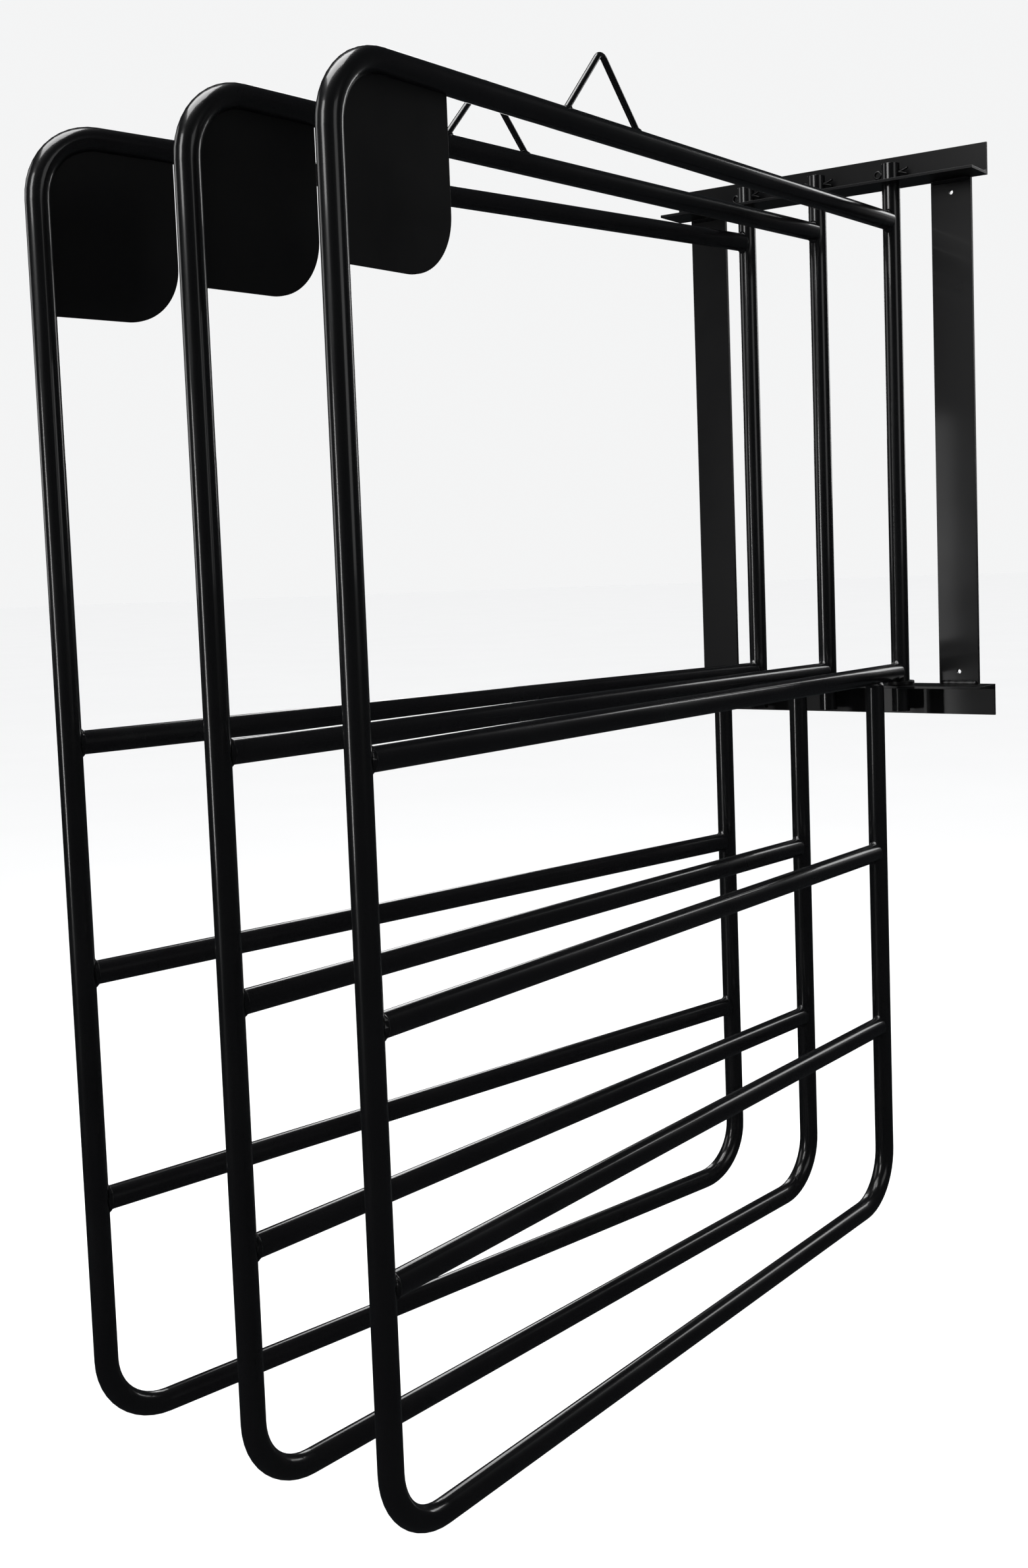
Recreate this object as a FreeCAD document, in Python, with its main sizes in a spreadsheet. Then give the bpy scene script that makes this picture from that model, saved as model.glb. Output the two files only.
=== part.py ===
import FreeCAD, Part
import math
import os
import re
import Sketcher

# Wall rack with three gates (wings) that swing about vertical pivots.
# The wall bracket is two steel angles joined by two flat risers. Each wing is one bent tube
# closed by a pivot tube, a middle bar and two crossbars, with a name plate in its outer top
# corner and a peaked rod on its top bar.
#
# Part frame, in millimetres: +Z up, the wall is the plane Y = 0 and the room lies towards -Y.
# The origin is the centre of the four wall screw holes.

SIZES = {
    # Round stock.
    "tube_diameter": (22.2, "outside of every tube"),
    "tube_wall": (1.6, "wall of every tube"),
    "rod_diameter": (6.35, "peaked rod on the top bar"),
    # Wing, measured between tube axes.
    "wing_reach": (976, "pivot to outer upright"),
    "wing_rise": (551, "middle bar up to top bar"),
    "wing_drop": (648, "middle bar down to bottom bar"),
    "leg_offset": (72, "pivot to inner leg"),
    "bend_radius": (61.6, "centre line of the tube bends"),
    # Fan of the wings, in degrees away from square to the wall.
    "fan_right": (2, "right wing"),
    "fan_middle": (5.5, "middle wing"),
    "fan_left": (12, "left wing"),
    # Wall bracket.
    "pivot_pitch": (100, "between neighbouring pivots"),
    "rail_length": (427, "both angles"),
    "rail_gap": (611, "between the two angles' shelves"),
    "angle_shelf": (50.8, "horizontal leg of the angle"),
    "angle_back": (38.1, "leg of the angle on the wall"),
    "angle_thickness": (3.2, "both legs"),
    "angle_root": (3.5, "radius between the legs"),
    "riser_width": (50.8, "flat bar"),
    "riser_thickness": (4.8, "flat bar"),
    "riser_inset": (19.5, "end of the angle to the flat bar"),
    "screw_hole": (5.5, "wall screw hole"),
    "screw_inset": (15, "end of the flat bar to the hole's centre"),
    # Pivots.
    "pivot_clearance": (0.08, "radial, tube in the shelf's hole"),
    "stub_above": (22, "pivot tube above the upper shelf"),
    "stub_below": (30, "pivot tube below the lower shelf"),
    "collar_diameter": (34, "outside of the thrust collar"),
    "collar_thickness": (4.9, "thrust collar"),
    "pin_diameter": (4, "split pin"),
    "pin_clearance": (0.1, "radial, split pin in its hole"),
    "pin_tail": (11.5, "split pin beyond the tube, tail side"),
    "pin_head": (2, "split pin beyond the tube, eye side"),
    "pin_eye": (4, "radius of the eye's centre line"),
    "pin_eye_wire": (3, "wire of the eye"),
    # Name plate.
    "plate_width": (128, "from the outer upright"),
    "plate_height": (152, "from the top bar"),
    "plate_corner": (55, "free corner"),
    "plate_thickness": (3, "sheet"),
    # Peaked rod.
    "peak_place": (610, "pivot to the peak"),
    "peak_span": (132, "between the two legs, where they meet the top bar's axis"),
    "peak_height": (61, "top of the peak above the top bar"),
    "peak_radius": (8, "centre line of the bend at the peak"),
}

doc = FreeCAD.newDocument("SwingRack")


# ---------------------------------------------------------------- sizes and small helpers

def make_sheet():
    sheet = doc.addObject("Spreadsheet::Sheet", "Sizes")
    for row, (alias, (value, note)) in enumerate(SIZES.items(), start=1):
        sheet.set("A%d" % row, alias)
        sheet.set("B%d" % row, str(value))
        sheet.set("C%d" % row, note)
        sheet.setAlias("B%d" % row, alias)
    doc.recompute()
    return sheet


sheet = make_sheet()


def bind(thing, **expressions):
    """Ties properties of an object to expressions of the sheet's sizes."""
    for name, text in expressions.items():
        thing.setExpression(name, sized(text))


def sized(text):
    """Spells a formula of plain size names as FreeCAD reads it: tube_wall -> Sizes.tube_wall."""
    return re.sub(r"\w+", lambda word: "Sizes." * (word.group() in SIZES) + word.group(), text)


def value_of(text):
    return float(sheet.evalExpression(sized(text)))


def new_body(label):
    body = doc.addObject("PartDesign::Body", label)
    body.Label = label
    return body


def origin_plane(body, role):
    return next(item for item in body.Origin.OriginFeatures if item.Role == role)


def new_sketch(body, name, role, offset=None):
    """A sketch on one of the body's own planes, moved along the plane's normal by an offset."""
    sketch = body.newObject("Sketcher::SketchObject", name)
    sketch.AttachmentSupport = (origin_plane(body, role), [""])
    sketch.MapMode = "FlatFace"
    if offset is not None:
        sketch.setExpression("AttachmentOffset.Base.z", sized(offset))
    doc.recompute()
    return sketch


def hold_distance(sketch, kind, geometry, point, text):
    """Holds a point at a distance from the sketch's origin along X or Y, or on the axis."""
    value = value_of(text)
    if abs(value) < 1e-9:
        axis = -2 if kind == "DistanceX" else -1
        sketch.addConstraint(Sketcher.Constraint("PointOnObject", geometry, point, axis))
        return
    index = sketch.addConstraint(Sketcher.Constraint(kind, -1, 1, geometry, point, value))
    sketch.setExpression("Constraints[%d]" % index, sized(text))


def add_circle(sketch, x, y, diameter):
    centre = FreeCAD.Vector(value_of(x), value_of(y), 0)
    radius = value_of(diameter) / 2
    circle = sketch.addGeometry(Part.Circle(centre, FreeCAD.Vector(0, 0, 1), radius))
    hold_distance(sketch, "DistanceX", circle, 3, x)
    hold_distance(sketch, "DistanceY", circle, 3, y)
    index = sketch.addConstraint(Sketcher.Constraint("Diameter", circle, 2 * radius))
    sketch.setExpression("Constraints[%d]" % index, sized(diameter))


def add_route(sketch, corners, closed):
    """Lines that run level or upright between corners (x, y, radius), as formulas.

    A corner that has a radius is rounded by a tangent arc. Each line is held at its own
    distance from the sketch's origin, and an open route at its two ends as well.
    """
    points = [FreeCAD.Vector(value_of(x), value_of(y), 0) for x, y, radius in corners]
    radii = [value_of(radius) if radius else 0.0 for x, y, radius in corners]
    count = len(corners) if closed else len(corners) - 1
    lines = []
    for i in range(count):
        j = (i + 1) % len(corners)
        along = (points[j] - points[i]).normalize()
        start = points[i] + along * radii[i]
        end = points[j] - along * radii[j]
        line = sketch.addGeometry(Part.LineSegment(start, end))
        level = abs(along.x) > abs(along.y)
        sketch.addConstraint(Sketcher.Constraint("Horizontal" if level else "Vertical", line))
        if level:
            hold_distance(sketch, "DistanceY", line, 1, corners[i][1])
        else:
            hold_distance(sketch, "DistanceX", line, 1, corners[i][0])
        lines.append((line, level, start, end))
    for i in range(count):
        j = (i + 1) % len(corners)
        if not closed and j == count:
            continue
        join_lines(sketch, lines[i], lines[j % count], points[j], radii[j], corners[j][2])
    if not closed:
        hold_free_end(sketch, lines[0], 1, corners[0])
        hold_free_end(sketch, lines[-1], 2, corners[-1])


def join_lines(sketch, first, second, corner, radius, radius_text):
    if not radius:
        joint = Sketcher.Constraint("Coincident", first[0], 2, second[0], 1)
        sketch.addConstraint(joint)
        return
    start = first[3]
    end = second[2]
    centre = start + end - corner
    middle = centre + (corner - centre).normalize() * radius
    # A sketch counts every arc anticlockwise, so a clockwise corner is drawn from its far end.
    anticlockwise = (corner - start).cross(end - corner).z > 0
    if anticlockwise:
        arc = sketch.addGeometry(Part.Arc(start, middle, end))
    else:
        arc = sketch.addGeometry(Part.Arc(end, middle, start))
    first_end = 1 if anticlockwise else 2
    second_end = 2 if anticlockwise else 1
    sketch.addConstraint(Sketcher.Constraint("Tangent", first[0], 2, arc, first_end))
    sketch.addConstraint(Sketcher.Constraint("Tangent", arc, second_end, second[0], 1))
    index = sketch.addConstraint(Sketcher.Constraint("Radius", arc, radius))
    sketch.setExpression("Constraints[%d]" % index, sized(radius_text))


def hold_free_end(sketch, line, point, corner):
    if line[1]:
        hold_distance(sketch, "DistanceX", line[0], point, corner[0])
    else:
        hold_distance(sketch, "DistanceY", line[0], point, corner[1])


def pad(body, sketch, name, length, midplane=False):
    feature = body.newObject("PartDesign::Pad", name)
    feature.Profile = sketch
    feature.setExpression("Length", sized(length))
    feature.Midplane = midplane
    doc.recompute()
    return feature


def cut_through(body, sketch, name):
    """Cuts the sketch through the whole body, both ways, and checks that it took material."""
    before = body.Shape.Volume
    pocket = body.newObject("PartDesign::Pocket", name)
    pocket.Profile = sketch
    pocket.Type = "ThroughAll"
    pocket.Midplane = True
    doc.recompute()
    if body.Shape.Volume >= before:
        raise RuntimeError("%s cut nothing from %s" % (name, body.Label))
    return pocket


# ---------------------------------------------------------------- levels shared by the pieces

LOWER_SHELF = "(-rail_gap / 2)"
UPPER_SHELF = "(rail_gap / 2)"
MIDDLE_BAR = "(%s + collar_thickness + tube_diameter / 2)" % LOWER_SHELF
TOP_BAR = "(%s + wing_rise)" % MIDDLE_BAR
BOTTOM_BAR = "(%s - wing_drop)" % MIDDLE_BAR
PIVOT_TOP = "(%s + angle_thickness + stub_above)" % UPPER_SHELF
PIVOT_BOTTOM = "(%s - angle_thickness - stub_below)" % LOWER_SHELF
PIN_LEVEL = "(%s + angle_thickness + stub_above / 2)" % UPPER_SHELF
# Tube ends are cut square and butt against the side of the tube they are welded to.
BUTT = "tube_diameter / 2"

WINGS = {
    "wing_1": ("pivot_pitch", "fan_right"),
    "wing_2": ("0", "fan_middle"),
    "wing_3": ("-pivot_pitch", "fan_left"),
}


def place_on_wing(piece, wing, shift_x="0", shift_z="0"):
    """Puts a piece, drawn with X outwards and Z up from the pivot axis, on its wing."""
    pivot_x, fan = WINGS[wing]
    turn = "(90deg + %s * 1deg)" % fan
    piece.Placement.Rotation = FreeCAD.Rotation(FreeCAD.Vector(0, 0, -1), 90)
    bind(piece, **{
        "Placement.Base.x": "%s + (%s) * cos(%s)" % (pivot_x, shift_x, turn),
        "Placement.Base.y": "-angle_shelf / 2 - (%s) * sin(%s)" % (shift_x, turn),
        "Placement.Base.z": shift_z,
        "Placement.Rotation.Angle": turn,
    })
    doc.recompute()


# ---------------------------------------------------------------- wall bracket

def make_rail(label, upside_down):
    """A steel angle: its shelf carries the pivots and its back lies on the wall."""
    body = new_body(label)
    profile = new_sketch(body, label + "_profile", "YZ_Plane")
    add_route(profile, [
        ("0", "0", None),
        ("-angle_shelf", "0", None),
        ("-angle_shelf", "angle_thickness", None),
        ("-angle_thickness", "angle_thickness", "angle_root"),
        ("-angle_thickness", "angle_back", None),
        ("0", "angle_back", None),
    ], closed=True)
    pad(body, profile, label + "_bar", "rail_length", midplane=True)
    holes = new_sketch(body, label + "_pivot_holes", "XY_Plane")
    for place in ("-pivot_pitch", "0", "pivot_pitch"):
        add_circle(holes, place, "-angle_shelf / 2", "tube_diameter + 2 * pivot_clearance")
    cut_through(body, holes, label + "_pivots")
    if upside_down:
        body.Placement.Rotation = FreeCAD.Rotation(FreeCAD.Vector(0, 1, 0), 180)
        bind(body, **{"Placement.Base.z": LOWER_SHELF})
    else:
        bind(body, **{"Placement.Base.z": UPPER_SHELF})


def make_riser(label, side):
    """A flat bar on the wall that joins the two angles, with a wall screw hole at each end."""
    body = new_body(label)
    face = new_sketch(body, label + "_face", "XZ_Plane")
    half_width = "riser_width / 2"
    add_route(face, [
        ("-" + half_width, LOWER_SHELF, None),
        (half_width, LOWER_SHELF, None),
        (half_width, UPPER_SHELF, None),
        ("-" + half_width, UPPER_SHELF, None),
    ], closed=True)
    pad(body, face, label + "_bar", "riser_thickness")
    holes = new_sketch(body, label + "_screw_holes", "XZ_Plane")
    add_circle(holes, "0", UPPER_SHELF + " - screw_inset", "screw_hole")
    add_circle(holes, "0", LOWER_SHELF + " + screw_inset", "screw_hole")
    cut_through(body, holes, label + "_screws")
    bind(body, **{
        "Placement.Base.x": "%d * (rail_length / 2 - riser_inset - riser_width / 2)" % side,
    })


# ---------------------------------------------------------------- wing tubes

def make_frame_tube(wing):
    """One bent tube: top bar, outer upright, bottom bar and inner leg."""
    label = wing + "_frame_tube"
    body = new_body(label)
    route = new_sketch(body, label + "_route", "XZ_Plane")
    add_route(route, [
        (BUTT, TOP_BAR, None),
        ("wing_reach", TOP_BAR, "bend_radius"),
        ("wing_reach", BOTTOM_BAR, "bend_radius"),
        ("leg_offset", BOTTOM_BAR, "bend_radius"),
        ("leg_offset", "%s - %s" % (MIDDLE_BAR, BUTT), None),
    ], closed=False)
    section = new_sketch(body, label + "_section", "YZ_Plane", BUTT)
    add_circle(section, "0", TOP_BAR, "tube_diameter")
    add_circle(section, "0", TOP_BAR, "tube_diameter - 2 * tube_wall")
    pipe = body.newObject("PartDesign::AdditivePipe", label + "_bend")
    pipe.Profile = section
    pipe.Spine = route
    doc.recompute()
    place_on_wing(body, wing)


def make_straight_bar(wing, name, start, level):
    """A tube between the upright tube at start and the outer upright."""
    label = "%s_%s" % (wing, name)
    body = new_body(label)
    section = new_sketch(body, label + "_section", "YZ_Plane", start + " + " + BUTT)
    add_circle(section, "0", level, "tube_diameter")
    add_circle(section, "0", level, "tube_diameter - 2 * tube_wall")
    pad(body, section, label + "_tube", "wing_reach - %s - 2 * %s" % (start, BUTT))
    place_on_wing(body, wing)


def make_pivot_tube(wing):
    """The tube that turns in both shelves, with a cross hole in its upper stub."""
    label = wing + "_pivot_tube"
    body = new_body(label)
    section = new_sketch(body, label + "_section", "XY_Plane", PIVOT_BOTTOM)
    add_circle(section, "0", "0", "tube_diameter")
    add_circle(section, "0", "0", "tube_diameter - 2 * tube_wall")
    pad(body, section, label + "_tube", "%s - %s" % (PIVOT_TOP, PIVOT_BOTTOM))
    cross = new_sketch(body, label + "_cross_hole", "XZ_Plane")
    add_circle(cross, "0", PIN_LEVEL, "pin_diameter + 2 * pin_clearance")
    cut_through(body, cross, label + "_pin_hole")
    place_on_wing(body, wing)


# ---------------------------------------------------------------- wing fittings

def make_name_plate(wing):
    """Sheet in the wing's plane that fills the outer top corner, with one free round corner."""
    label = wing + "_name_plate"
    body = new_body(label)
    outline = new_sketch(body, label + "_outline", "XZ_Plane")
    tube_side = "wing_reach - tube_diameter / 2"
    bar_side = TOP_BAR + " - tube_diameter / 2"
    free_side = "%s - plate_width" % tube_side
    free_bottom = "%s - plate_height" % bar_side
    add_route(outline, [
        (free_side, free_bottom, "plate_corner"),
        (tube_side, free_bottom, None),
        (tube_side, bar_side, "bend_radius - tube_diameter / 2"),
        (free_side, bar_side, None),
    ], closed=True)
    pad(body, outline, label + "_sheet", "plate_thickness", midplane=True)
    place_on_wing(body, wing)


def make_peaked_rod(wing):
    """A rod bent to an upside-down V, its two feet coped onto the top bar.

    It is drawn with the top bar's axis as its X axis and the peak on its Z axis. Half of it is
    swept from the peak down to one foot and mirrored.
    """
    label = wing + "_peaked_rod"
    body = new_body(label)
    crown = "(tube_diameter / 2 + peak_height - rod_diameter / 2)"
    route = new_sketch(body, label + "_route", "XZ_Plane")
    draw_half_rod(route, crown)
    section = new_sketch(body, label + "_section", "YZ_Plane")
    add_circle(section, "0", crown, "rod_diameter")
    pipe = body.newObject("PartDesign::AdditivePipe", label + "_half")
    pipe.Profile = section
    pipe.Spine = route
    doc.recompute()
    mirrored = body.newObject("PartDesign::Mirrored", label + "_both")
    mirrored.Originals = [pipe]
    mirrored.MirrorPlane = (origin_plane(body, "YZ_Plane"), [""])
    body.Tip = mirrored
    doc.recompute()
    feet = new_sketch(body, label + "_feet", "YZ_Plane")
    add_circle(feet, "0", "0", "tube_diameter")
    cut_through(body, feet, label + "_saddle")
    place_on_wing(body, wing, shift_x="peak_place", shift_z=TOP_BAR)


def draw_half_rod(sketch, crown):
    """A quarter-turn or less from the peak, then a straight leg down to the top bar's axis."""
    height = value_of(crown)
    radius = value_of("peak_radius")
    foot = FreeCAD.Vector(value_of("peak_span / 2"), 0, 0)
    centre = FreeCAD.Vector(0, height - radius, 0)
    # Where the leg leaves the bend: the tangent from the foot to the bend's circle.
    reach = (foot - centre).Length
    spread = math.acos(radius / reach)
    lean = math.atan2(foot.y - centre.y, foot.x - centre.x) + spread
    leave = centre + FreeCAD.Vector(math.cos(lean), math.sin(lean), 0) * radius
    circle = Part.Circle(centre, FreeCAD.Vector(0, 0, 1), radius)
    bend = sketch.addGeometry(Part.ArcOfCircle(circle, lean, math.pi / 2))
    leg = sketch.addGeometry(Part.LineSegment(leave, foot))
    sketch.addConstraint(Sketcher.Constraint("Tangent", bend, 1, leg, 1))
    sketch.addConstraint(Sketcher.Constraint("PointOnObject", bend, 3, -2))
    sketch.addConstraint(Sketcher.Constraint("PointOnObject", bend, 2, -2))
    hold_distance(sketch, "DistanceY", bend, 2, crown)
    hold_distance(sketch, "DistanceX", leg, 2, "peak_span / 2")
    hold_distance(sketch, "DistanceY", leg, 2, "0")
    index = sketch.addConstraint(Sketcher.Constraint("Radius", bend, radius))
    sketch.setExpression("Constraints[%d]" % index, sized("peak_radius"))


def make_thrust_collar(wing):
    """A loose ring that carries the wing on the lower shelf."""
    label = wing + "_thrust_collar"
    ring = doc.addObject("Part::Cylinder", label + "_disc")
    bind(ring, Radius="collar_diameter / 2", Height="collar_thickness")
    bore = doc.addObject("Part::Cylinder", label + "_bore")
    bind(bore, Radius="tube_diameter / 2 + pivot_clearance", Height="collar_thickness")
    collar = doc.addObject("Part::Cut", label)
    collar.Label = label
    collar.Base = ring
    collar.Tool = bore
    place_on_wing(collar, wing, shift_z=LOWER_SHELF)


def make_split_pin(wing):
    """A pin with an eye, across the upper stub, that stops the wing being lifted out."""
    label = wing + "_split_pin"
    shank = doc.addObject("Part::Cylinder", label + "_shank")
    bind(shank, Radius="pin_diameter / 2", Height="tube_diameter + pin_head + pin_tail")
    shank.Placement.Rotation = FreeCAD.Rotation(FreeCAD.Vector(1, 0, 0), -90)
    bind(shank, **{"Placement.Base.y": "-tube_diameter / 2 - pin_head"})
    eye = doc.addObject("Part::Torus", label + "_eye")
    bind(eye, Radius1="pin_eye", Radius2="pin_eye_wire / 2")
    eye.Placement.Rotation = FreeCAD.Rotation(FreeCAD.Vector(0, 1, 0), 90)
    bind(eye, **{"Placement.Base.y": "-tube_diameter / 2 - pin_head - pin_eye"})
    pin = doc.addObject("Part::Fuse", label)
    pin.Label = label
    pin.Base = shank
    pin.Tool = eye
    place_on_wing(pin, wing, shift_z=PIN_LEVEL)


# ---------------------------------------------------------------- build, check and write

make_rail("upper_rail", upside_down=False)
make_rail("lower_rail", upside_down=True)
make_riser("right_riser", 1)
make_riser("left_riser", -1)
for wing in WINGS:
    make_frame_tube(wing)
    make_pivot_tube(wing)
    make_straight_bar(wing, "middle_bar", "0", MIDDLE_BAR)
    make_straight_bar(wing, "upper_crossbar", "leg_offset", MIDDLE_BAR + " - wing_drop / 3")
    make_straight_bar(wing, "lower_crossbar", "leg_offset", MIDDLE_BAR + " - wing_drop * 2 / 3")
    make_name_plate(wing)
    make_peaked_rod(wing)
    make_thrust_collar(wing)
    make_split_pin(wing)
doc.recompute()


def is_sub_part(item):
    body = item.isDerivedFrom("PartDesign::Body")
    return body or item.isDerivedFrom("Part::Boolean")


sub_parts = [item for item in doc.Objects if is_sub_part(item)]
for item in doc.Objects:
    if "Invalid" in item.State or "Error" in item.State:
        raise RuntimeError("%s did not build: %s" % (item.Label, item.State))
for item in sub_parts:
    if item.Shape.isNull() or not item.Shape.isValid() or len(item.Shape.Solids) != 1:
        raise RuntimeError("%s is not one valid solid" % item.Label)

os.makedirs("parts", exist_ok=True)
for item in sub_parts:
    item.Shape.exportStep("parts/%s.step" % item.Label)
print("wrote %d sub-parts" % len(sub_parts))
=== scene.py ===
import math

import bpy
from mathutils import Matrix, Vector, noise


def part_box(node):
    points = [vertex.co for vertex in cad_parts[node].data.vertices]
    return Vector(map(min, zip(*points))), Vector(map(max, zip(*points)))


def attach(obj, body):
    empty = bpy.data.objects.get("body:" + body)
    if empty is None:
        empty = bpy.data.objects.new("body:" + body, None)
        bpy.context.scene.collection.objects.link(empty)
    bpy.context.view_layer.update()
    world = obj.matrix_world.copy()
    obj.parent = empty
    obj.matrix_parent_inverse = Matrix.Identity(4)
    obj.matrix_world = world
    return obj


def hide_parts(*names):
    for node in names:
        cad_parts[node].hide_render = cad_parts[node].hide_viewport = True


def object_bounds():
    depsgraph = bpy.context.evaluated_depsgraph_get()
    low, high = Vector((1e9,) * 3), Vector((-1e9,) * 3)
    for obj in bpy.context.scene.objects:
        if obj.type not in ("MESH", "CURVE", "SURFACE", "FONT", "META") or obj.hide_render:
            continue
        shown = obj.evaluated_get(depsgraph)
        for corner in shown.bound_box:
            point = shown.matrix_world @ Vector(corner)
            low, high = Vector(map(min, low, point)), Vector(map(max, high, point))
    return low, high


# Looks of a wall rack with three swinging wings: black paint over welded steel tube and flat
# bar, weld beads, split pins and turned collars, in a pale studio.
# Everything is in metres, in the CAD model's frame.

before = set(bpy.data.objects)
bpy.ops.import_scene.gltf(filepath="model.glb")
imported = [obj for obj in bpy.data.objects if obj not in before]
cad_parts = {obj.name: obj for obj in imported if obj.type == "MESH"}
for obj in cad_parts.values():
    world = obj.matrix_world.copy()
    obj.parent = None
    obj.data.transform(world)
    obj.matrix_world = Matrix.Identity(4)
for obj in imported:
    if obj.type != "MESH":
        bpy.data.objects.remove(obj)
cad_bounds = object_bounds()

MM = 0.001
WINGS = ("wing_1", "wing_2", "wing_3")


# ---------------------------------------------------------------- measures from the CAD model

def middle(node):
    """The centre of a CAD node's box."""
    low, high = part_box(node)
    return (low + high) / 2


def flat(vector):
    """The vector's level part."""
    return Vector((vector.x, vector.y, 0.0))


class Wing:
    """The lines of one wing, read from the boxes of its CAD nodes."""

    def __init__(self, name):
        self.name = name
        self.pivot = flat(middle(name + "_pivot_tube"))
        low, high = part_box(name + "_lower_crossbar")
        self.tube_radius = (high.z - low.z) / 2
        to_bar = flat(middle(name + "_middle_bar")) - self.pivot
        to_crossbar = flat(middle(name + "_lower_crossbar")) - self.pivot
        self.out = to_bar.normalized()
        self.side = Vector((0, 0, 1)).cross(self.out)
        self.reach = 2 * to_bar.length
        self.leg = 2 * to_crossbar.length - self.reach
        self.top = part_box(name + "_frame_tube")[1].z - self.tube_radius
        self.middle_bar = middle(name + "_middle_bar").z
        self.crossbars = [middle(name + "_upper_crossbar").z, middle(name + "_lower_crossbar").z]

    def at(self, distance, height, sideways=0.0):
        """The point at a distance from the pivot along the wing, a height, and off its plane."""
        return self.pivot + self.out * distance + self.side * sideways + Vector((0, 0, height))


# ---------------------------------------------------------------- mesh helpers

def new_object(name, verts, faces, smooth=True):
    mesh = bpy.data.meshes.new(name)
    mesh.from_pydata([tuple(v) for v in verts], [], faces)
    mesh.update()
    if smooth:
        mesh.polygons.foreach_set("use_smooth", [True] * len(mesh.polygons))
    thing = bpy.data.objects.new(name, mesh)
    bpy.context.scene.collection.objects.link(thing)
    return thing


def skin_rings(rings, closed_path):
    """Vertices and faces of a skin over rings of points; an open skin is capped at both ends."""
    verts = [point for ring in rings for point in ring]
    width = len(rings[0])
    faces = []
    spans = len(rings) if closed_path else len(rings) - 1
    for i in range(spans):
        here = i * width
        there = (i + 1) % len(rings) * width
        for k in range(width):
            turn = (k + 1) % width
            faces.append((here + k, there + k, there + turn, here + turn))
    if not closed_path:
        faces.append(tuple(range(width)))
        last = (len(rings) - 1) * width
        faces.append(tuple(last + k for k in reversed(range(width))))
    return verts, faces


class Soup:
    """Collects separate skins into one mesh."""

    def __init__(self):
        self.verts = []
        self.faces = []

    def add(self, verts, faces):
        start = len(self.verts)
        self.verts += verts
        self.faces += [tuple(start + i for i in face) for face in faces]


# ---------------------------------------------------------------- weld beads

# Leg lengths of the beads.
TUBE_BEAD = 3.4 * MM
ROD_BEAD = 1.9 * MM
STITCH_BEAD = 2.2 * MM
BRACKET_BEAD = 4.2 * MM

BEAD_STEPS = 8
SADDLE_STEPS = 72
BUTT_STEPS = 132
STRAIGHT_STEP = 0.4 * MM
ROOT_DEPTH = 0.3 * MM
PAINT_LIFT = 0.02 * MM
RIPPLE_PITCH = 1.7 * MM
RIPPLE_HEIGHT = 0.16 * MM
RIPPLE_BOW = 0.55 * RIPPLE_PITCH
# Spatial frequencies of the unevenness, per metre.
LUMP_FREQUENCY = 420
WOBBLE_FREQUENCY = 180
BUTT_WOBBLE_FREQUENCY = 220
WOBBLE = 0.16
BUTT_WOBBLE = 0.22
# A butt weld: how far its toe laps the bar, its toe at the crotches as a share of the bead, how
# far round the tube it reaches as a share of the radius, and how much it swells or hollows.
BUTT_LAP = 0.25 * MM
CROTCH_TOE = 0.75
SIDE_REACH = 0.76
SIDE_REACH_WOBBLE = 0.10
CROTCH_BULGE = 0.30
SIDE_HOLLOW = 0.12
BUTT_RIPPLE = 2.2 * RIPPLE_HEIGHT
# How thin a straight bead gets at its ends, before the square root.
END_TAPER = 0.06


def bead_ring(root, on_first, on_second, outward, travelled, bulge, ripple=RIPPLE_HEIGHT):
    """The section of a bead: toe on one piece, rounded face, toe on the other piece, root."""
    ring = []
    crown = (on_first + on_second) / 2 + outward * bulge
    control = 2 * crown - (on_first + on_second) / 2
    for step in range(BEAD_STEPS + 1):
        t = step / BEAD_STEPS
        arch = 4 * t * (1 - t)
        phase = (travelled + RIPPLE_BOW * arch) / RIPPLE_PITCH
        scallop = abs(math.sin(math.pi * phase))
        point = (1 - t) ** 2 * on_first + 2 * t * (1 - t) * control + t ** 2 * on_second
        lump = noise.noise(point * LUMP_FREQUENCY) * 0.8
        ring.append(point + outward * ripple * arch * (scallop - 0.4 + lump))
    ring.append(root - outward * ROOT_DEPTH)
    return ring


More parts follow.
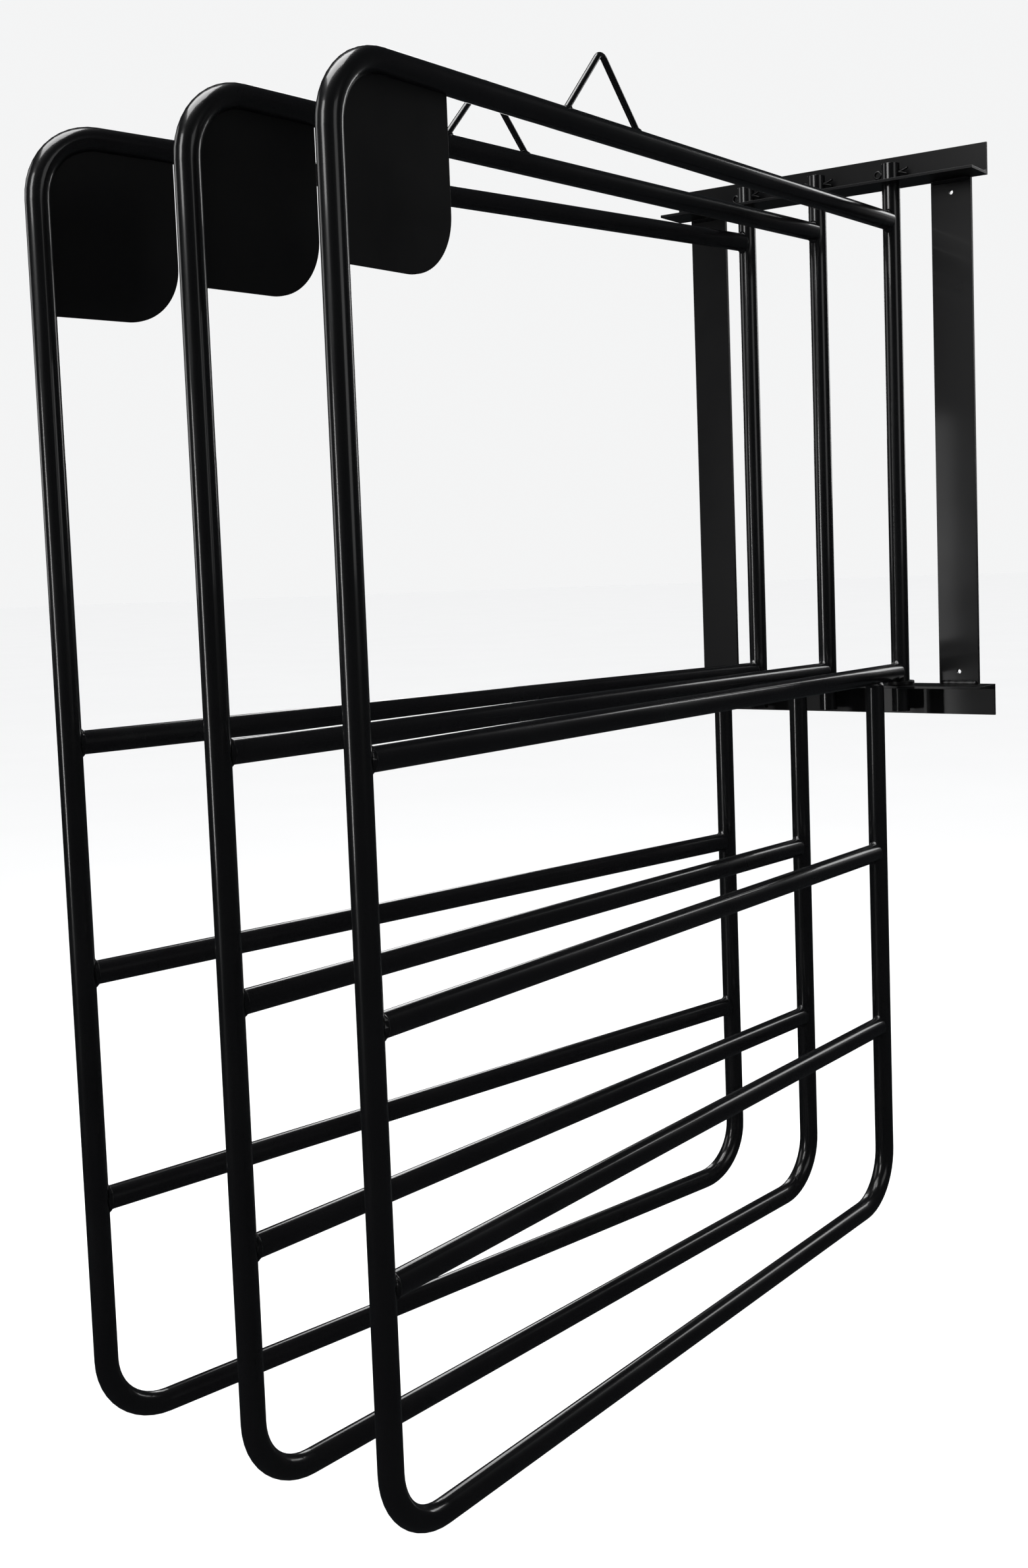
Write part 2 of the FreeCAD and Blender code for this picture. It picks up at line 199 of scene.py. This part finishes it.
def saddle_bead(soup, foot, along, radius, run, run_radius, leg, seed):
    """A bead round a rod that stands on a tube: foot is where the two axes meet."""
    first = run.cross(along).normalized()
    second = along.cross(first)
    run_part = along - run * along.dot(run)
    rounding = 0.22 * radius
    roots = []
    normals = []
    for i in range(SADDLE_STEPS):
        angle = 2 * math.pi * i / SADDLE_STEPS
        spoke = first * math.cos(angle) + second * math.sin(angle)
        offset = spoke * radius
        across = offset - run * offset.dot(run)
        lean = across.dot(run_part)
        room = lean ** 2 - run_part.length_squared * (across.length_squared - run_radius ** 2)
        rise = (math.sqrt(max(room, 0.0) + rounding ** 2) - lean) / run_part.length_squared
        roots.append(foot + offset + along * rise)
        normals.append((spoke, (across + run_part * rise).normalized()))
    rings = []
    travelled = 0.0
    for i, root in enumerate(roots):
        ahead = roots[(i + 1) % SADDLE_STEPS]
        behind = roots[i - 1]
        path = (ahead - behind).normalized()
        branch_normal, run_normal = normals[i]
        wobble = noise.noise(root * WOBBLE_FREQUENCY + Vector((seed, 0, 0)))
        size = leg * (1 + WOBBLE * wobble)
        on_run = root + path.cross(run_normal).normalized() * size
        level = foot + run * (on_run - foot).dot(run)
        on_run = level + (on_run - level).normalized() * (run_radius + PAINT_LIFT)
        on_branch = root + branch_normal.cross(path).normalized() * size
        height = along * (on_branch - foot).dot(along)
        spoke = (on_branch - foot - height).normalized()
        on_branch = foot + height + spoke * (radius + PAINT_LIFT)
        outward = (branch_normal + run_normal).normalized()
        flatness = max(0.0, branch_normal.dot(run_normal))
        bulge = size * (0.10 + 0.16 * flatness)
        rings.append(bead_ring(root, on_run, on_branch, outward, travelled, bulge))
        travelled += (ahead - root).length
    soup.add(*skin_rings(rings, closed_path=True))


def butt_bead(soup, foot, along, radius, run, seed):
    """The weld between a square tube end and the side of an equal tube.

    Foot is where the axes meet. At the crotches it is a fillet; at the sides it fills the wedge
    between the flat end and the round tube, a little inside the end's rim.
    """
    across = along.cross(run).normalized()
    rings = []
    travelled = 0.0
    for i in range(BUTT_STEPS):
        angle = 2 * math.pi * i / BUTT_STEPS
        crotch = abs(math.cos(angle))
        spoke = run * math.cos(angle) + across * math.sin(angle)
        rim = foot + along * radius + spoke * radius
        wobble = noise.noise(rim * BUTT_WOBBLE_FREQUENCY + Vector((seed, 0, 0)))
        size = TUBE_BEAD * (1 + BUTT_WOBBLE * wobble)
        toe = BUTT_LAP + size * CROTCH_TOE * crotch ** 3
        on_bar = rim + along * toe + spoke * PAINT_LIFT
        side_reach = radius * math.sin(angle) * (SIDE_REACH + SIDE_REACH_WOBBLE * wobble)
        depth = math.sqrt(radius ** 2 - side_reach ** 2)
        run_reach = math.cos(angle) * (radius + size * crotch)
        on_run = foot + along * depth + across * side_reach + run * run_reach
        outward = (spoke - along * 0.7 * crotch).normalized()
        bulge = size * (CROTCH_BULGE * crotch ** 2 - SIDE_HOLLOW)
        root = foot + along * radius * 1.02 + spoke * radius * 0.8
        rings.append(bead_ring(root, on_run, on_bar, outward, travelled, bulge, BUTT_RIPPLE))
        travelled += 2 * math.pi * radius / BUTT_STEPS
    soup.add(*skin_rings(rings, closed_path=True))


def straight_bead(soup, start, end, first, second, leg, seed):
    """A bead along a straight corner; first and second point away from it along the two faces."""
    path = end - start
    steps = max(8, int(path.length / STRAIGHT_STEP))
    outward = (first + second).normalized()
    rings = []
    for i in range(steps + 1):
        t = i / steps
        root = start + path * t
        near_end = min(t, 1 - t) * path.length / leg
        taper = math.sqrt(max(END_TAPER, 1 - (1 - min(near_end, 1.0)) ** 2))
        wobble = noise.noise(root * WOBBLE_FREQUENCY + Vector((seed, 0, 0)))
        size = leg * taper * (1 + WOBBLE * wobble)
        on_first = root + first * size
        on_second = root + second * size
        rings.append(bead_ring(root, on_first, on_second, outward, path.length * t, 0.12 * size))
    soup.add(*skin_rings(rings, closed_path=False))


def add_tube_welds(soup, wing, seed):
    """Beads at both ends of every bar, at the top bar's inner end and at the top of the leg."""
    up = Vector((0, 0, 1))
    radius = wing.tube_radius
    joints = [
        (wing.at(0, wing.top), wing.out, up),
        (wing.at(0, wing.middle_bar), wing.out, up),
        (wing.at(wing.reach, wing.middle_bar), -wing.out, up),
        (wing.at(wing.leg, wing.middle_bar), -up, wing.out),
    ]
    for level in wing.crossbars:
        joints.append((wing.at(wing.leg, level), wing.out, up))
        joints.append((wing.at(wing.reach, level), -wing.out, up))
    for i, (foot, along, run) in enumerate(joints):
        butt_bead(soup, foot, along, radius, run, seed + i)


def add_rod_welds(soup, wing, seed):
    """Beads round both feet of the peaked rod, whose lean is read from its CAD node."""
    node = wing.name + "_peaked_rod"
    points = [v.co - wing.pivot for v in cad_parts[node].data.vertices]
    reach = [p.dot(wing.out) for p in points]
    radius = max(abs(p.dot(wing.side)) for p in points)
    place = (min(reach) + max(reach)) / 2
    foot = max(points, key=lambda p: p.dot(wing.out))
    above = [p for p in points if p.z > foot.z + 20 * MM]
    knee = max(above, key=lambda p: p.dot(wing.out))
    slope = (foot - knee).dot(wing.out) / (knee.z - foot.z)
    upright = 1 / math.sqrt(1 + slope ** 2)
    half_span = foot.dot(wing.out) - place - radius / upright + slope * (foot.z - wing.top)
    for sign in (-1, 1):
        along = (Vector((0, 0, 1)) - wing.out * sign * slope).normalized()
        start = wing.at(place + sign * half_span, wing.top)
        saddle_bead(soup, start, along, radius, wing.out, wing.tube_radius, ROD_BEAD, seed + sign)


PLATE_HALF = 1.5 * MM
STITCH_LENGTH = 14 * MM
STITCH_DROPS = (62 * MM, 98 * MM, 134 * MM)
STITCH_INSETS = (48 * MM, 14 * MM)


def add_plate_stitches(soup, wing, seed):
    """Short beads that hold the name plate to the tube, on the wing's rear face."""
    plate = wing.name + "_name_plate"
    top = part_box(plate)[1].z
    radius = wing.tube_radius
    up = Vector((0, 0, 1))
    rear = -wing.side
    edge = wing.reach - radius
    for drop in STITCH_DROPS:
        height = top - drop
        start = wing.at(edge, height, -PLATE_HALF)
        stop = wing.at(edge, height - STITCH_LENGTH, -PLATE_HALF)
        toe = (wing.out * 0.35 + rear).normalized()
        straight_bead(soup, start, stop, toe, -wing.out, STITCH_BEAD, seed)
    plate_middle = (middle(plate) - wing.pivot).dot(wing.out)
    for inset in STITCH_INSETS:
        place = plate_middle - inset
        start = wing.at(place, wing.top - radius, -PLATE_HALF)
        stop = wing.at(place + STITCH_LENGTH, wing.top - radius, -PLATE_HALF)
        toe = (up * 0.35 + rear).normalized()
        straight_bead(soup, start, stop, toe, -up, STITCH_BEAD, seed + 1)


def make_wing_welds(wing, seed):
    """All the beads of one wing, as one piece."""
    soup = Soup()
    add_tube_welds(soup, wing, seed)
    add_rod_welds(soup, wing, seed + 20)
    add_plate_stitches(soup, wing, seed + 40)
    welds = new_object(wing.name + "_welds", soup.verts, soup.faces)
    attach(welds, wing.name)
    return welds


def make_bracket_welds():
    """Beads across both ends of each riser, stopping a little short of its edges."""
    end_gap = 1.5 * MM
    soup = Soup()
    up = Vector((0, 0, 1))
    room = Vector((0, -1, 0))
    for seed, riser in enumerate(("left_riser", "right_riser")):
        low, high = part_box(riser)
        for level, down in ((high.z, -up), (low.z, up)):
            start = Vector((low.x + end_gap, low.y, level))
            stop = Vector((high.x - end_gap, low.y, level))
            straight_bead(soup, start, stop, room, down, BRACKET_BEAD, seed)
    welds = new_object("bracket_welds", soup.verts, soup.faces)
    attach(welds, "bracket")
    return welds


# ---------------------------------------------------------------- split pin and collar

WIRE_RADIUS = 1.9 * MM
WIRE_STEPS = 14
EYE_STEPS = 12
# Half the angle of the eye's mouth, in radians, where the wire's two legs start.
EYE_MOUTH = 0.5
# From the eye's far side to the straight legs, and from the tube to where the legs start to part.
NECK = 1.2 * MM
STRAIGHT_PAST_TUBE = 0.6 * MM
LEG_LIFT = 0.05 * MM
# How much less than the eye's half height the tails part, and how sharply they bend.
TAIL_DROP = 2.4 * MM
TAIL_CURL = 1.4
TAIL_STEPS = 8
COLLAR_CLEARANCE = 0.08 * MM
COLLAR_CHAMFER = 0.6 * MM


def wire_rings(path, radius, flat_side):
    """Rings of a half-round wire along a path; flat_side gives the way its flat faces."""
    rings = []
    for i, point in enumerate(path):
        ahead = path[min(i + 1, len(path) - 1)]
        behind = path[max(i - 1, 0)]
        across = (ahead - behind).cross(flat_side[i]).normalized()
        ring = []
        for k in range(WIRE_STEPS + 1):
            angle = math.pi * k / WIRE_STEPS
            spoke = across * math.cos(angle) - flat_side[i] * math.sin(angle)
            ring.append(point + spoke * radius)
        rings.append(ring)
    return rings


def make_split_pin(wing):
    """A wire of half-round section folded to an eye and two legs whose ends are spread."""
    node = wing.name + "_split_pin"
    low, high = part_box(node)
    points = [v.co - wing.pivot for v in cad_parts[node].data.vertices]
    # The pin lies square to the wing, its tail on the wing's positive side.
    tail = max(p.dot(wing.side) for p in points)
    head = -min(p.dot(wing.side) for p in points)
    eye_outside = (high.z - low.z) / 2
    eye = eye_outside - WIRE_RADIUS
    up = Vector((0, 0, 1))
    centre = wing.pivot + up * (low.z + high.z) / 2
    eye_centre = centre - wing.side * (head - eye_outside)
    bend = wing.tube_radius + STRAIGHT_PAST_TUBE
    halves = []
    for sign in (-1, 1):
        path = []
        flats = []
        for i in range(EYE_STEPS + 1):
            angle = math.pi - (math.pi - EYE_MOUTH) * i / EYE_STEPS
            spoke = wing.side * math.cos(angle) + up * sign * math.sin(angle)
            path.append(eye_centre + spoke * eye)
            flats.append(-spoke)
        start = eye + NECK - (head - eye_outside)
        for place in (start, (start + bend) / 2, bend):
            path.append(centre + wing.side * place + up * sign * LEG_LIFT)
            flats.append(-up * sign)
        for i in range(1, TAIL_STEPS + 1):
            t = i / TAIL_STEPS
            lift = (eye_outside - TAIL_DROP) * t ** TAIL_CURL
            path.append(centre + wing.side * (bend + (tail - bend) * t) + up * sign * lift)
            flats.append(-up * sign)
        halves.append((path, flats))
    # One wire from tail to tail: the lower half backwards, without the point that both share.
    lower, upper = halves
    path = lower[0][:0:-1] + upper[0]
    flats = lower[1][:0:-1] + upper[1]
    verts, faces = skin_rings(wire_rings(path, WIRE_RADIUS, flats), closed_path=False)
    pin = new_object(wing.name + "_split_pin_wire", verts, faces)
    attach(pin, wing.name)
    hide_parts(node)
    return pin


def make_collar(wing):
    """A turned ring with chamfered edges, in the place of the plain CAD ring."""
    node = wing.name + "_thrust_collar"
    low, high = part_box(node)
    centre = (low + high) / 2
    outside = (high.z - low.z) / 2
    radius = (high.x - low.x) / 2
    bore = wing.tube_radius + COLLAR_CLEARANCE
    chamfer = COLLAR_CHAMFER
    profile = [
        (bore, -outside + chamfer / 2), (bore + chamfer / 2, -outside),
        (radius - chamfer, -outside), (radius, -outside + chamfer),
        (radius, outside - chamfer), (radius - chamfer, outside),
        (bore + chamfer / 2, outside), (bore, outside - chamfer / 2),
    ]
    steps = 96
    rings = []
    for i in range(steps):
        angle = 2 * math.pi * i / steps
        spoke = Vector((math.cos(angle), math.sin(angle), 0))
        rings.append([centre + spoke * r + Vector((0, 0, z)) for r, z in profile])
    verts, faces = skin_rings(rings, closed_path=True)
    collar = new_object(wing.name + "_turned_collar", verts, faces, smooth=False)
    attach(collar, wing.name)
    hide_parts(node)
    return collar


# ---------------------------------------------------------------- materials

class Nodes:
    """A node tree with short ways to add and link nodes."""

    def __init__(self, name):
        self.material = bpy.data.materials.new(name)
        self.material.use_nodes = True
        self.tree = self.material.node_tree
        self.shader = self.tree.nodes["Principled BSDF"]
        self.place = self.add("ShaderNodeTexCoord").outputs["Object"]

    def add(self, kind, **settings):
        node = self.tree.nodes.new(kind)
        for key, value in settings.items():
            if key in node.inputs:
                node.inputs[key].default_value = value
            else:
                setattr(node, key, value)
        return node

    def link(self, source, target):
        self.tree.links.new(source, target)

    def noise(self, scale, detail=2.0, roughness=0.5):
        node = self.add("ShaderNodeTexNoise", Scale=scale, Detail=detail, Roughness=roughness)
        self.link(self.place, node.inputs["Vector"])
        return node.outputs["Fac"]

    def spread(self, value, low, high, to_low, to_high):
        node = self.add("ShaderNodeMapRange")
        self.link(value, node.inputs["Value"])
        for key, number in zip(("From Min", "From Max", "To Min", "To Max"),
                               (low, high, to_low, to_high)):
            node.inputs[key].default_value = number
        return node.outputs["Result"]

    def mix_colour(self, factor, first, second):
        node = self.add("ShaderNodeMix", data_type="RGBA")
        self.link(factor, node.inputs["Factor"])
        for socket, value in (("A", first), ("B", second)):
            target = [s for s in node.inputs if s.name == socket and s.type == "RGBA"][0]
            if isinstance(value, tuple):
                target.default_value = value
            else:
                self.link(value, target)
        return [s for s in node.outputs if s.type == "RGBA"][0]

    def maths(self, operation, first, second):
        node = self.add("ShaderNodeMath", operation=operation)
        for socket, value in zip(node.inputs, (first, second)):
            if isinstance(value, (int, float)):
                socket.default_value = value
            else:
                self.link(value, socket)
        return node.outputs["Value"]

    def bump(self, height, distance, normal=None):
        node = self.add("ShaderNodeBump", Strength=1.0, Distance=distance)
        self.link(height, node.inputs["Height"])
        if normal is not None:
            self.link(normal, node.inputs["Normal"])
        return node.outputs["Normal"]

    def edges(self, radius):
        """The rounded normal, and a mask that is 1 on sharp edges."""
        bevel = self.add("ShaderNodeBevel", samples=6, Radius=radius)
        shape = self.add("ShaderNodeNewGeometry")
        dot = self.add("ShaderNodeVectorMath", operation="DOT_PRODUCT")
        self.link(bevel.outputs["Normal"], dot.inputs[0])
        self.link(shape.outputs["Normal"], dot.inputs[1])
        mask = self.spread(dot.outputs["Value"], 0.98, 0.80, 0.0, 1.0)
        return bevel.outputs["Normal"], mask


BLACK = (0.0018, 0.0018, 0.0021, 1.0)
BLACK_PATCH = tuple(c * 1.35 for c in BLACK[:3]) + (1.0,)
WORN = (0.035, 0.035, 0.037, 1.0)
RUBBED = (0.16, 0.16, 0.165, 1.0)
SPECK_HEIGHT = 25e-6
# Spatial frequencies of the paint's patterns, per metre.
PATCHES = 9.0
HANDLING = 140.0
PEEL = 330.0
GRAIN = 2600.0
SPECKS = 110.0


def paint(name, worn_colour, roughness, specular, peel_height, coat, rounding):
    """Black powder coat: orange peel, small inclusions, a thin coat that shows lighter at edges."""
    nodes = Nodes(name)
    shader = nodes.shader
    rounded, edge = nodes.edges(rounding)
    patches = nodes.noise(PATCHES, detail=4.0)
    handled = nodes.noise(HANDLING, detail=3.0)
    worn = nodes.maths("MULTIPLY", edge, nodes.spread(handled, 0.35, 0.75, 0.0, 0.8))
    tint = nodes.mix_colour(nodes.spread(patches, 0.3, 0.7, 0.0, 1.0), BLACK, BLACK_PATCH)
    tint = nodes.mix_colour(worn, tint, worn_colour)
    nodes.link(tint, shader.inputs["Base Color"])
    rough = nodes.spread(patches, 0.3, 0.7, roughness * 0.85, roughness * 1.2)
    rough = nodes.maths("ADD", rough, nodes.maths("MULTIPLY", worn, 0.18))
    nodes.link(rough, shader.inputs["Roughness"])
    peel = nodes.noise(PEEL, detail=1.5)
    grain = nodes.noise(GRAIN, detail=1.0)
    specks = nodes.add("ShaderNodeTexVoronoi", Scale=SPECKS, feature="F1")
    nodes.link(nodes.place, specks.inputs["Vector"])
    speck = nodes.spread(specks.outputs["Distance"], 0.0, 0.07, 1.0, 0.0)
    normal = nodes.bump(peel, peel_height, rounded)
    normal = nodes.bump(grain, peel_height * 0.10, normal)
    normal = nodes.bump(speck, SPECK_HEIGHT, normal)
    nodes.link(normal, shader.inputs["Normal"])
    shader.inputs["IOR"].default_value = 1.5
    shader.inputs["Specular IOR Level"].default_value = specular
    shader.inputs["Coat Weight"].default_value = coat
    shader.inputs["Coat Roughness"].default_value = 0.07
    nodes.link(nodes.bump(peel, peel_height * 0.7, rounded), shader.inputs["Coat Normal"])
    return nodes.material


def floor_material():
    nodes = Nodes("pale_floor")
    shader = nodes.shader
    patches = nodes.noise(1.2, detail=3.0)
    nodes.link(nodes.mix_colour(patches, (0.95, 0.95, 0.95, 1.0), (0.98, 0.98, 0.98, 1.0)),
               shader.inputs["Base Color"])
    shader.inputs["Roughness"].default_value = 0.85
    nodes.link(nodes.bump(nodes.noise(400.0), 20e-6), shader.inputs["Normal"])
    return nodes.material


def finish_of(node):
    """The name of the finish that a CAD node has."""
    if node.endswith(("_rail", "_riser")):
        return "bracket_paint"
    if node.endswith("_name_plate"):
        return "plate_paint"
    if node.endswith("_thrust_collar"):
        return "collar_steel"
    if node.endswith("_split_pin"):
        return "pin_steel"
    return "wing_paint"


def dress_cad_nodes(materials):
    """Gives every CAD node the material of its finish."""
    for name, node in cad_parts.items():
        finish = finish_of(name)
        node.data.materials.clear()
        node.data.materials.append(materials[finish])


# ---------------------------------------------------------------- studio

FLOOR_DROP = 0.45


def make_floor(level):
    """A pale disc, far below the rack, wide enough to reach the horizon."""
    steps = 96
    radii = (0.0, 2.0, 5.0, 12.0, 30.0, 80.0)
    verts = [Vector((0, 0, level))]
    faces = []
    for radius in radii[1:]:
        for i in range(steps):
            angle = 2 * math.pi * i / steps
            verts.append(Vector((radius * math.cos(angle), radius * math.sin(angle), level)))
    for i in range(steps):
        turn = (i + 1) % steps
        faces.append((0, 1 + i, 1 + turn))
        for ring in range(len(radii) - 2):
            here = 1 + ring * steps
            there = here + steps
            faces.append((here + i, there + i, there + turn, here + turn))
    floor = new_object("floor", verts, faces, smooth=False)
    floor.data.materials.append(floor_material())
    floor.visible_glossy = False


def soft_box(name, place, aim, width, height, watts):
    """A rectangular lamp that lights and reflects, but isn't itself in the picture."""
    data = bpy.data.lights.new(name, "AREA")
    data.shape = "RECTANGLE"
    data.size = width
    data.size_y = height
    data.energy = watts
    light = bpy.data.objects.new(name, data)
    light.location = place
    light.rotation_euler = (Vector(aim) - Vector(place)).to_track_quat("-Z", "Y").to_euler()
    light.visible_camera = False
    bpy.context.scene.collection.objects.link(light)


def make_world():
    """Pale as a backdrop, much dimmer as a reflection, so that black paint stays black."""
    world = bpy.data.worlds.new("studio")
    world.use_nodes = True
    tree = world.node_tree
    tree.nodes.clear()
    rays = tree.nodes.new("ShaderNodeLightPath")
    output = tree.nodes.new("ShaderNodeOutputWorld")

    def background(colour, strength):
        node = tree.nodes.new("ShaderNodeBackground")
        node.inputs["Color"].default_value = colour
        node.inputs["Strength"].default_value = strength
        return node.outputs["Background"]

    def choose(ray, otherwise, chosen):
        node = tree.nodes.new("ShaderNodeMixShader")
        tree.links.new(rays.outputs[ray], node.inputs["Fac"])
        tree.links.new(otherwise, node.inputs[1])
        tree.links.new(chosen, node.inputs[2])
        return node.outputs["Shader"]

    lighting = background((0.99, 0.995, 1.0, 1.0), 1.04)
    reflected = background((0.85, 0.93, 1.0, 1.0), 0.020)
    seen = background((0.905, 0.908, 0.91, 1.0), 1.0)
    mixed = choose("Is Camera Ray", choose("Is Glossy Ray", lighting, reflected), seen)
    tree.links.new(mixed, output.inputs["Surface"])
    bpy.context.scene.world = world


def make_camera():
    """The photograph's viewpoint: from the room's right, a little below the brackets."""
    focal_px, image_long_px = 2606.16, 2380
    data = bpy.data.cameras.new("camera")
    data.sensor_width = 36
    data.lens = 36 * focal_px / image_long_px
    data.shift_x = -0.05146
    data.shift_y = -0.05339
    data.clip_end = 200
    camera = bpy.data.objects.new("camera", data)
    place = (0.9716, -2.0159, -0.1377)
    heading, pitch, roll = 0.58981, -0.08148, 0.03437
    turn = (Matrix.Rotation(heading, 4, "Z") @ Matrix.Rotation(pitch, 4, "X")
            @ Matrix.Rotation(roll, 4, "Y") @ Matrix.Rotation(math.pi / 2, 4, "X"))
    camera.matrix_world = Matrix.Translation(place) @ turn
    bpy.context.scene.collection.objects.link(camera)
    bpy.context.scene.camera = camera


# ---------------------------------------------------------------- the scene

wings = [Wing(name) for name in WINGS]

# Slot, worn colour, roughness, specular level, orange peel height, coat, edge rounding.
PAINTS = (
    ("wing_paint", WORN, 0.24, 0.50, 3e-6, 0.7, 0.4 * MM),
    ("bracket_paint", WORN, 0.32, 0.22, 6e-6, 0.10, 0.7 * MM),
    ("plate_paint", WORN, 0.40, 0.26, 6e-6, 0.05, 0.5 * MM),
    ("collar_steel", RUBBED, 0.34, 0.50, 8e-6, 0.0, 0.5 * MM),
    ("pin_steel", RUBBED, 0.40, 0.50, 8e-6, 0.0, 0.3 * MM),
)
materials = {row[0]: paint(*row) for row in PAINTS}
dress_cad_nodes(materials)

for index, wing in enumerate(wings):
    make_wing_welds(wing, 100 * index).data.materials.append(materials["wing_paint"])
    make_split_pin(wing).data.materials.append(materials["pin_steel"])
    make_collar(wing).data.materials.append(materials["collar_steel"])
make_bracket_welds().data.materials.append(materials["bracket_paint"])

make_floor(cad_bounds[0][2] - FLOOR_DROP)
make_world()
# Name, place, aim, width, height, watts.
SOFT_BOXES = (
    ("key", (-0.7, -4.2, 1.7), (0.0, -0.5, 0.0), 1.1, 1.8, 30),
    ("strip", (-1.6, -4.0, -0.3), (0.0, -0.6, -0.3), 0.30, 1.3, 11),
    ("top", (-0.6, -1.2, 3.0), (0.0, -0.5, 0.0), 2.2, 2.2, 75),
    ("left", (-3.6, -1.5, 1.0), (0.0, -0.5, 0.0), 1.5, 2.5, 11),
    ("fill", (3.4, -1.0, 0.8), (0.0, -0.3, -0.2), 1.4, 2.0, 6),
    ("back_left", (-2.8, 2.6, 1.4), (0.0, -0.4, -0.1), 0.8, 2.4, 16),
    ("back_right", (0.9, 3.5, 1.2), (0.0, -0.4, -0.1), 0.8, 2.4, 16),
)
for lamp in SOFT_BOXES:
    soft_box(*lamp)
make_camera()
bpy.context.scene.view_settings.view_transform = "Standard"
